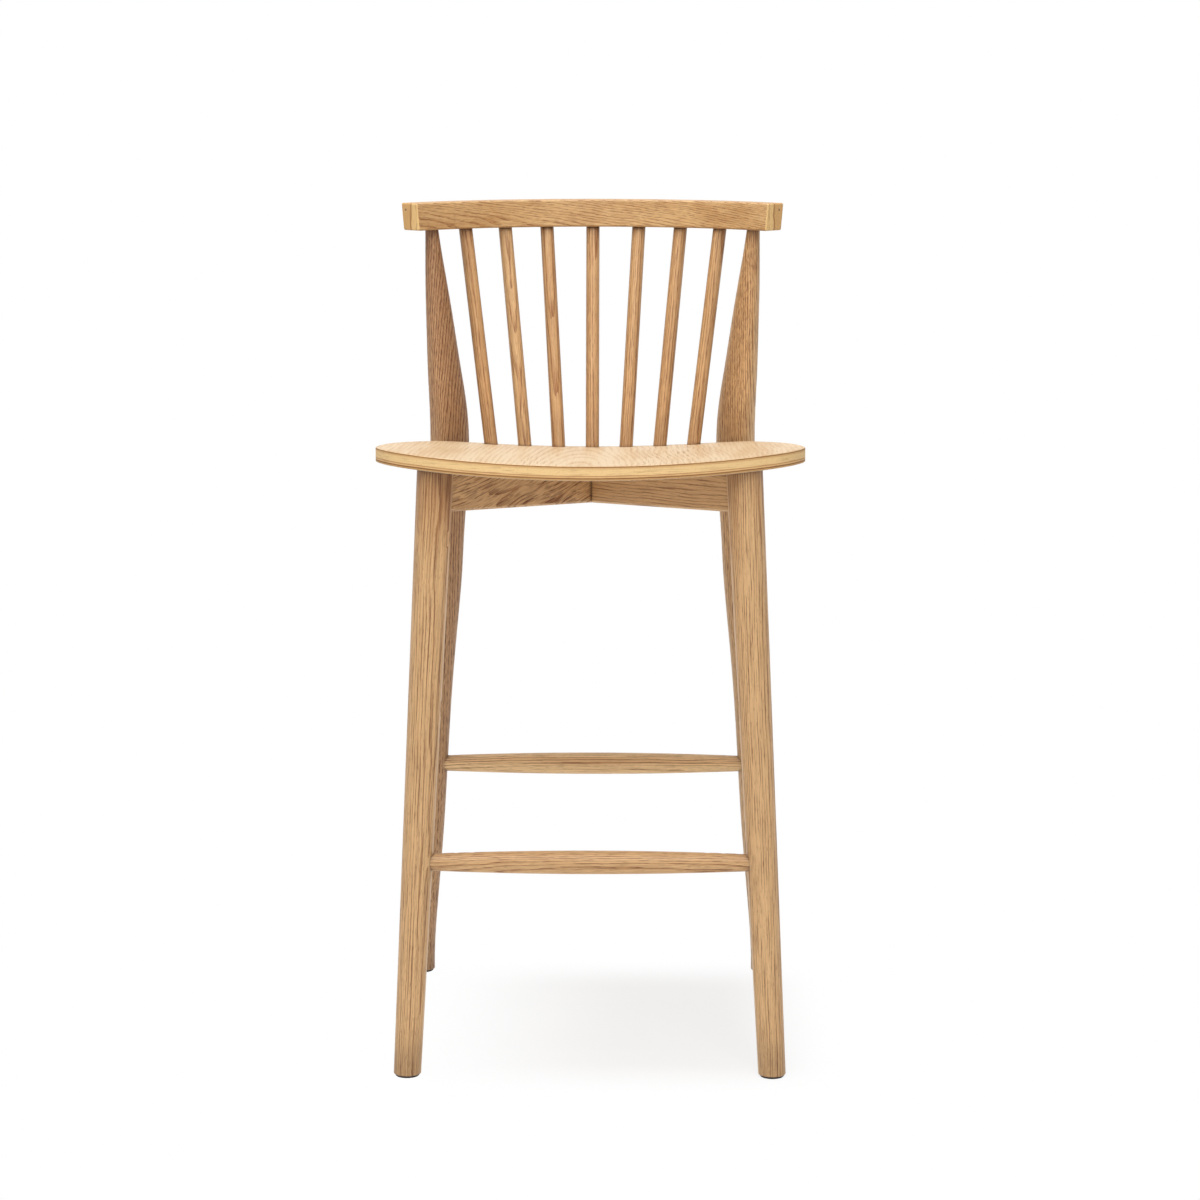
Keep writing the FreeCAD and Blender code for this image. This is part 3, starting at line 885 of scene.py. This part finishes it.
@dataclass(frozen=True)
class PlyFinish:
    """A moulded panel: pale crown-cut veneer over plies that show at the edge."""

    veneer_pale: Colour = paint(221, 196, 161)
    veneer_tan: Colour = paint(202, 166, 122)
    veneer_pore: Colour = paint(164, 124, 83)
    ply_light: Colour = paint(250, 212, 152)
    ply_tan: Colour = paint(216, 169, 112)
    ply_red: Colour = paint(205, 153, 103)
    ply_dark: Colour = paint(150, 104, 62)

    wander: Stretch = Stretch((9.0, 4.0, 2.0), layers=2.0)
    calm_patches: Stretch = Stretch((16.0, 1.5, 1.0), band=(0.36, 0.6))
    pore_lines: Stretch = Stretch((520.0, 14.0, 40.0), layers=2.0, band=(0.48, 0.66))
    fibre_lines: Stretch = Stretch((240.0, 6.0, 5.0), layers=3.0, apart=5.0)
    patches: Stretch = Stretch((30.0, 4.0, 2.0), layers=5.0, apart=2.0)
    dust: Stretch = Stretch((45.0, 45.0, 900.0), layers=2.0)
    spots: Stretch = Stretch((420.0, 420.0, 1500.0))

    calm_start: float = 7.0
    patch_start: float = 1.5
    ring: float = 0.0052
    ring_waves: float = 0.006
    early_band: Band = (0.6, 0.0)
    crown_at: float = 0.012
    crown_waves: float = 0.016
    crown_depth: float = 0.03
    crown_rise: float = 0.06
    crown_rise_waves: float = 0.008
    leaf_joints: Band = (-0.138, 0.112)
    joint_width: float = 0.0008

    outer_leaf_bold: float = 0.6
    late_pores: float = 0.3
    calm_pores: float = 0.25
    pore_share: float = 0.75
    usual_tone: float = 0.42
    fibre_tone: float = 1.6
    ring_middle: float = 0.3
    ring_tone: float = 0.65
    patch_tone: float = 2.3
    middle_leaf_tone: float = 0.14

    ply_waves: float = 0.0007
    dust_band: Band = (0.5, 0.72)
    dust_share: float = 0.3
    spot_band: Band = (0.58, 0.74)
    spot_share: float = 0.22
    edge_from: Band = (0.0005, 0.0011)
    edge_to: Band = (0.0003, 0.0008)

    rough: float = 0.46
    pore_rough: float = 0.15
    edge_rough: float = 0.12
    level: float = 0.6
    fibre_height: float = 0.2
    pore_depth: float = 0.4
    spot_depth: float = 0.5
    depth: float = 0.00025
    shine: float = 0.22
    arris: float = 0.0009
    seam: float = 0.004
    seam_share: float = 0.55

    def plies(self, tree: ShaderTree, share: Signal) -> Signal:
        """Return the edge colour at a depth below the seat's face.

        Args:
            tree: The material.
            share: The depth as a share of the panel's thickness.

        Returns:
            The colour of the ply there.
        """
        layers = [
            (0.000, self.ply_light), (0.050, self.ply_light), (0.065, self.ply_dark),
            (0.105, self.ply_dark), (0.135, self.ply_tan), (0.280, self.ply_light),
            (0.640, self.ply_light), (0.670, self.ply_red), (0.715, self.ply_red),
            (0.745, self.ply_light), (0.800, self.ply_tan), (0.830, self.ply_dark),
            (0.875, self.ply_dark), (0.900, self.ply_tan), (0.950, self.ply_tan),
            (1.000, self.ply_dark),
        ]
        return tree.stops(share, layers)

    def crown(self, tree: ShaderTree, spot: Spot, front: float) -> Signal:
        """Draw the tall arches of a crown-cut leaf.

        Args:
            tree: The material.
            spot: The surface point.
            front: The y of the seat's front edge.

        Returns:
            1 at the start of a ring, falling to 0 in the late wood.
        """
        x, y, _ = spot
        wander = self.wander.draw(tree, spot).centred()
        across = x + self.crown_at + wander * self.crown_waves
        back = (y - front) * self.crown_rise
        rising = self.crown_depth + back + wander * self.crown_rise_waves
        reach = (across * across + rising * rising).root() + wander * self.ring_waves
        return (reach / self.ring).fraction().ramp(*self.early_band)

    def veneer(self, tree: ShaderTree, spot: Spot, front: float) -> Figure:
        """Draw the three leaves of the face veneer.

        Args:
            tree: The material.
            spot: The surface point.
            front: The y of the seat's front edge.

        Returns:
            The veneer's figure.
        """
        x = spot[0]
        left, right = self.leaf_joints
        middle = x.ramp(left, left + self.joint_width) * x.ramp(right, right - self.joint_width)
        bold = middle.lift(self.outer_leaf_bold)
        early = self.crown(tree, spot, front)
        calm = self.calm_patches.draw(tree, spot, self.calm_start)
        streaks = self.pore_lines.draw(tree, spot)
        pores = streaks * early.lift(self.late_pores) * calm.lift(self.calm_pores) * bold
        fibre = self.fibre_lines.draw(tree, spot, middle).centred()
        patch = self.patches.draw(tree, spot, middle + self.patch_start).centred()
        rings = (early - self.ring_middle) * self.ring_tone * bold
        tone = self.usual_tone + fibre * self.fibre_tone + rings + patch * self.patch_tone
        tone = tone - middle * self.middle_leaf_tone
        colour = tree.mix(tone, self.veneer_pale, self.veneer_tan)
        colour = tree.mix(pores * self.pore_share, colour, self.veneer_pore)
        height = self.level + fibre * self.fibre_height - pores * self.pore_depth
        return Figure(colour, self.rough + pores * self.pore_rough, height)

    def material(self, name: str, form: PanelForm) -> bpy.types.Material:
        """Make the seat's veneer and plies.

        Args:
            name: The material's name.
            form: The panel's form.

        Returns:
            The material.
        """
        tree = ShaderTree.of_material(name)
        spot = tree.parts(tree.place())
        below = form.below(spot)
        face = self.veneer(tree, spot, form.front)

        dust = self.dust.draw(tree, spot)
        spots = self.spots.draw(tree, spot)
        plies = self.plies(tree, (below + dust.centred() * self.ply_waves) / form.thickness)
        dirt = dust.ramp(*self.dust_band) * self.dust_share
        dirt = dirt + spots.ramp(*self.spot_band) * self.spot_share
        plies = tree.mix(dirt, plies, self.ply_dark)
        start, full = (form.thickness - margin for margin in self.edge_to)
        edge = below.ramp(*self.edge_from) * below.ramp(start, full)

        colour = tree.mix(edge, face.colour, plies)
        colour = tree.mix(tree.crevice(self.seam) * self.seam_share, colour, self.ply_dark)
        rough = face.rough + edge * self.edge_rough
        height = face.height - edge * spots.centred() * self.spot_depth
        return tree.surface(
            colour, rough, height, self.depth, tree.soft_normal(self.arris), self.shine)


@dataclass(frozen=True)
class MouldedFinish:
    """A plain moulded or turned material with a fine grainy skin and broad scuffs."""

    light: Colour
    dark: Colour
    rough: float = 0.6
    metal: float = 0.0
    speckles: float = 1400.0
    scuffs: float = 70.0
    layers: float = 2.0
    scuff_share: float = 0.5
    scuff_rough: float = 0.2
    depth: float = 0.0001
    shine: float = 0.4

    def material(self, name: str) -> bpy.types.Material:
        """Make the material.

        Args:
            name: The material's name.

        Returns:
            The material.
        """
        tree = ShaderTree.of_material(name)
        speckle = tree.noise(tree.place(), self.layers, self.speckles)
        scuff = tree.noise(tree.place(), self.layers, self.scuffs)
        share = speckle * (1.0 - self.scuff_share) + scuff * self.scuff_share
        colour = tree.mix(share, self.light, self.dark)
        rough = self.rough + scuff.centred() * self.scuff_rough
        return tree.surface(
            colour, rough, speckle, self.depth, shine=self.shine, metal=self.metal)


def dress(node: bpy.types.Object, material: bpy.types.Material) -> None:
    """Give a piece its finish.

    Args:
        node: The piece.
        material: Its finish.
    """
    node.data.materials.clear()
    node.data.materials.append(material)
    LOG.info("dressed %s in %s", node.name, material.name)


def dress_straight(nodes: Nodes, name: str, finish: OakFinish, board: Board,
                   wood: str = "oak") -> None:
    """Dress a straight piece in wood from its own board.

    Args:
        nodes: The pieces by name.
        name: The piece.
        finish: The wood's finish.
        board: What it was cut from.
        wood: The wood's name.
    """
    grain = StraightGrain.of(nodes[name])
    dress(nodes[name], finish.material(f"{wood}_{name}", grain, board))


@dataclass
class LegFrame:
    """The four legs and the two stretchers between them."""

    oaks: dict[Wood, OakFinish]
    boards: dict[str, Board] = field(default_factory=lambda: {
        # The front legs get painted shade near the seat and a painted highlight on their inner
        # sides.
        "front_leg_left": Board(
            Cut.RIFT, seed=1.3, tone=-0.31, pith=0.09, drift=0.006, sway=0.0016, slope=0.6,
            bold=1.25, streaks=16.0, fade=0.4, corner_shade=0.32, top=0.7,
            side_highlights=(SideHighlight(side=1.0, band=(0.92, 0.985), share=0.8),)),
        "front_leg_right": Board(
            Cut.QUARTER, seed=7.9, tone=-0.28, pith=0.08, drift=0.008, sway=0.0018, slope=0.8,
            bold=1.15, streaks=20.0, fade=0.4, heart=-0.45, heart_reach=0.014, top=0.5,
            side_highlights=(SideHighlight(side=-1.0, band=(0.92, 0.985), share=0.8),)),
        # The rear legs darken up the grain with painted shade and get painted highlights on their
        # sides.
        "rear_leg_right": Board(
            Cut.QUARTER, seed=9.6, tone=-0.34, pith=0.1, drift=0.007, sway=0.0016, bold=1.45,
            streaks=60.0, fade=1.7, dashes=0.15, cloudy=0.25,
            side_highlights=(SideHighlight(side=-1.0, band=(0.75, 0.97), share=0.35),
                  SideHighlight(side=1.0, band=(0.55, 0.95), share=0.35))),
        "front_stretcher": Board(
            Cut.RIFT, seed=12.1, tone=-0.02, pith=0.05, sway=0.002, streaks=60.0),
        "rear_stretcher": Board(
            Cut.RIFT, seed=15.7, tone=-0.64, pith=0.05, drift=0.01, sway=0.002, slope=0.4,
            wood=Wood.CREAM, heart=0.85, heart_at=-0.0048),
        # Painted shade up the grain and a painted highlight on the inner side.
        "rear_leg_left": Board(
            Cut.QUARTER, seed=4.4, tone=-0.3, pith=0.1, drift=0.005, sway=0.0014, bold=1.3,
            streaks=130.0, fade=2.0, wood=Wood.BROWN, cloudy=0.25,
            side_highlights=(SideHighlight(side=1.0, band=(0.965, 0.995), share=0.6),)),
    })

    def dress(self, nodes: Nodes) -> None:
        """Dress the legs and stretchers, each from its own board."""
        for name, board in self.boards.items():
            dress_straight(nodes, name, self.oaks[board.wood], board)


@dataclass
class CrossRails:
    """The two lapped rails under the seat, with their dowels and screws."""

    oak: OakFinish
    beech: OakFinish
    zinc: MouldedFinish
    boards: dict[str, Board] = field(default_factory=lambda: {
        "cross_rail_left_front": Board(
            Cut.RIFT, seed=21.4, tone=-0.3, pith=0.05, drift=0.05, sway=0.009, slope=-19.0,
            bold=1.3, patchy=1.0, dashes=0.4, corner_shade=0.1),
        "cross_rail_right_front": Board(
            Cut.RIFT, seed=26.8, tone=-0.24, pith=0.06, drift=0.03, slope=3.0, corner_shade=0.1),
    })
    dowels: tuple[str, ...] = (
        "dowels_front_left", "dowels_front_right", "dowels_rear_left", "dowels_rear_right")
    first_dowel_seed: float = 31.0

    def dress(self, nodes: Nodes) -> None:
        """Dress the rails, then what holds them."""
        for name, board in self.boards.items():
            dress_straight(nodes, name, self.oak, board)
        for number, name in enumerate(self.dowels):
            board = Board(Cut.RIFT, seed=self.first_dowel_seed + number)
            dress_straight(nodes, name, self.beech, board, "beech")
        dress(nodes["seat_screws"], self.zinc.material("zinc_seat_screws"))


@dataclass
class SeatPanel:
    """The moulded seat."""

    ply: PlyFinish

    def dress(self, nodes: Nodes) -> None:
        """Dress the seat in veneer, with its plies at the edge."""
        form = PanelForm(front=float(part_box("seat_panel")[0][1]))
        dress(nodes["seat_panel"], self.ply.material("oak_veneer_seat", form))


@dataclass
class SpindleBack:
    """The crest rail, its end plugs and the seven spindles."""

    oak: OakFinish
    crest: CrestFinish
    plug: MouldedFinish
    bend: float = 0.280
    thickness: float = 0.026
    height: float = 0.030
    lean: float = 7.0
    half_angle: float = 46.0
    crest_board: Board = Board(
        Cut.RIFT, seed=41.2, tone=0.27, pith=0.05, drift=0.02, sway=0.003, slope=-5.0, bold=0.85,
        streaks=120.0, ring=0.0015, patchy=0.35)
    spindle_boards: tuple[Board, ...] = (
        Board(Cut.RIFT, seed=51.3, tone=0.36, pith=0.05, sway=0.002, streaks=60.0),
        Board(Cut.FLAT, seed=54.9, tone=-0.26, pith=0.012, drift=0.02, sway=0.005, bold=1.05),
        Board(Cut.FLAT, seed=57.2, tone=0.33, pith=0.014, drift=0.02, sway=0.005, bold=1.05),
        Board(Cut.RIFT, seed=61.8, tone=0.23, pith=0.06, drift=0.01, sway=0.002, streaks=60.0),
        Board(Cut.QUARTER, seed=64.1, tone=0.16, pith=0.06, drift=0.01, sway=0.002, streaks=60.0),
        Board(Cut.QUARTER, seed=67.5, tone=0.2, pith=0.05, sway=0.002, streaks=60.0),
        Board(Cut.RIFT, seed=70.6, tone=0.12, pith=0.05, drift=0.014, sway=0.002, streaks=60.0),
    )

    def bend_middle(self) -> Vector:
        """Find the middle of the bend, at half the crest rail's height.

        Returns:
            The middle.
        """
        low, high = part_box("crest_rail")
        outward = self.thickness / 2 + math.tan(math.radians(self.lean)) * self.height / 2
        return Vector((0.0, high[1] - self.bend - outward, (low[2] + high[2]) / 2))

    def dress(self, nodes: Nodes) -> None:
        """Dress the spindles, the crest rail and its plugs."""
        for number, board in enumerate(self.spindle_boards, start=1):
            dress_straight(nodes, f"spindle_{number}", self.oak, board)
        grain = BentGrain(self.bend_middle(), self.bend)
        half_length = self.bend * math.radians(self.half_angle)
        material = self.crest.material("oak_crest_rail", grain, self.crest_board, half_length)
        dress(nodes["crest_rail"], material)
        dress(nodes["crest_end_pins"], self.plug.material("dark_crest_plugs"))


@dataclass
class Feet:
    """The glides under the legs and their nails."""

    pad: MouldedFinish
    zinc: MouldedFinish
    glides: tuple[str, ...] = (
        "glide_front_left", "glide_front_right", "glide_rear_left", "glide_rear_right")

    def dress(self, nodes: Nodes) -> None:
        """Dress the glides and nails."""
        pad = self.pad.material("dark_glides")
        for name in self.glides:
            dress(nodes[name], pad)
        dress(nodes["glide_nails"], self.zinc.material("zinc_glide_nails"))


@dataclass(frozen=True)
class Lamp:
    """A soft square lamp that faces the seat, with its power in watts."""

    name: str
    place: tuple[float, float, float]
    size: float
    power: float


@dataclass
class Studio:
    """The pale floor, the soft lamps and the camera.

    The shadow's four bands say where it starts and where it is full on each side. Azimuth and
    elevation are in degrees, lens and sensor in millimetres, and shift is a share of the frame.
    """

    floor_size: float = 40.0
    floor_colour: Colour = paint(252, 251, 250)
    shadow_left: Band = (-0.22, 0.05)
    shadow_right: Band = (0.27, 0.14)
    shadow_front: Band = (-0.27, -0.16)
    shadow_back: Band = (0.26, 0.12)
    white_share: float = 0.7
    sky: float = 0.28
    lamps: tuple[Lamp, ...] = (
        Lamp("overhead_lamp", place=(-0.35, -0.25, 3.2), size=2.2, power=58.0),
        Lamp("high_lamp", place=(0.0, -2.0, 2.8), size=1.8, power=37.0),
        Lamp("front_lamp", place=(0.2, -3.6, 1.2), size=1.8, power=6.0),
    )
    aim: Vector = field(default_factory=lambda: Vector((0.0, 0.0, 0.4733)))
    distance: float = 3.7547
    azimuth: float = 0.5
    elevation: float = 9.464
    lens: float = 103.84
    sensor: float = 36.0
    shift: float = 0.0073

    def lay_floor(self) -> None:
        """Lay a plain floor that stays white and keeps the stool's shadow."""
        half = self.floor_size / 2
        corners = [(-half, -half, 0.0), (half, -half, 0.0), (half, half, 0.0), (-half, half, 0.0)]
        mesh = bpy.data.meshes.new("studio_floor")
        mesh.from_pydata(corners, [], [(0, 1, 2, 3)])
        floor = bpy.data.objects.new("studio_floor", mesh)
        bpy.context.scene.collection.objects.link(floor)
        tree = ShaderTree.of_material("studio_floor")
        x, y, _ = tree.parts(tree.place())
        shade = x.ramp(*self.shadow_left) * x.ramp(*self.shadow_right)
        shade = shade * y.ramp(*self.shadow_front) * y.ramp(*self.shadow_back)
        cloth = tree.add("ShaderNodeBsdfDiffuse", None, {"Color": self.floor_colour})
        glow = tree.add("ShaderNodeEmission", None, {"Color": WHITE, "Strength": 1.0})
        white = tree.shown() * (1.0 - shade * (1.0 - self.white_share))
        blend = tree.add(
            "ShaderNodeMixShader", None,
            {0: white, 1: Signal(tree, cloth.outputs[0]), 2: Signal(tree, glow.outputs[0])})
        tree.feed(tree.output.inputs["Surface"], Signal(tree, blend.outputs[0]))
        mesh.materials.append(tree.holder)
        LOG.info("laid the studio floor")

    def light_world(self) -> None:
        """Fill the room with even light and show it white to the camera."""
        world = bpy.data.worlds.new("studio_world")
        tree = ShaderTree(world, "ShaderNodeOutputWorld")
        level = tree.shown().lift(self.sky)
        back = tree.add("ShaderNodeBackground", None, {"Color": WHITE, "Strength": level})
        tree.feed(tree.output.inputs["Surface"], Signal(tree, back.outputs[0]))
        bpy.context.scene.world = world
        LOG.info("lit the studio world")

    def hang_lamp(self, lamp: Lamp) -> None:
        """Hang one lamp and turn it to the seat.

        Args:
            lamp: The lamp.
        """
        light = bpy.data.lights.new(lamp.name, "AREA")
        light.size = lamp.size
        light.energy = lamp.power
        holder = bpy.data.objects.new(lamp.name, light)
        holder.location = lamp.place
        holder.rotation_euler = (self.aim - holder.location).to_track_quat("-Z", "Y").to_euler()
        bpy.context.scene.collection.objects.link(holder)
        LOG.info("hung %s", lamp.name)

    def place_camera(self) -> None:
        """Set the camera at the photograph's angle."""
        camera = bpy.data.cameras.new("studio_camera")
        camera.sensor_width = self.sensor
        camera.lens = self.lens
        camera.shift_x = self.shift
        holder = bpy.data.objects.new("studio_camera", camera)
        turn = math.radians(self.azimuth)
        pitch = math.radians(self.elevation)
        away = Vector((math.sin(turn) * math.cos(pitch), -math.cos(turn) * math.cos(pitch),
                       math.sin(pitch)))
        holder.location = self.aim + away * self.distance
        holder.rotation_euler = (-away).to_track_quat("-Z", "Y").to_euler()
        bpy.context.scene.collection.objects.link(holder)
        bpy.context.scene.camera = holder
        LOG.info("placed the camera")

    def build(self) -> None:
        """Set up the whole studio."""
        self.lay_floor()
        self.light_world()
        for lamp in self.lamps:
            self.hang_lamp(lamp)
        self.place_camera()
        bpy.context.scene.view_settings.view_transform = "Standard"


def main() -> None:
    """Load the stool, dress its sub-assemblies in order and set up the studio."""
    logging.basicConfig(level=logging.INFO, format="%(message)s")
    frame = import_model()
    nodes = frame["nodes"]
    oak = OakFinish()
    brown = OakFinish(pale=paint(208, 164, 120), tan=paint(154, 107, 71), pore=paint(98, 61, 38))
    cream = OakFinish(pale=paint(250, 210, 156), tan=paint(190, 134, 82), pore=paint(122, 74, 40))
    beech = OakFinish(
        pale=paint(226, 190, 150), tan=paint(206, 166, 126), pore=paint(172, 130, 92))
    crest = CrestFinish(OakFinish(pale=paint(225, 185, 130), tan=paint(182, 134, 81)))
    zinc = MouldedFinish(paint(188, 190, 192), paint(150, 152, 156), rough=0.35, metal=1.0)
    plug = MouldedFinish(paint(178, 128, 76), paint(140, 96, 54))
    pad = MouldedFinish(paint(46, 40, 36), paint(26, 23, 21), rough=0.75)
    LegFrame({Wood.TAN: oak, Wood.BROWN: brown, Wood.CREAM: cream}).dress(nodes)
    CrossRails(oak, beech, zinc).dress(nodes)
    SeatPanel(PlyFinish()).dress(nodes)
    SpindleBack(oak, crest, plug).dress(nodes)
    Feet(pad, zinc).dress(nodes)
    Studio().build()


if __name__ == "__main__":
    main()
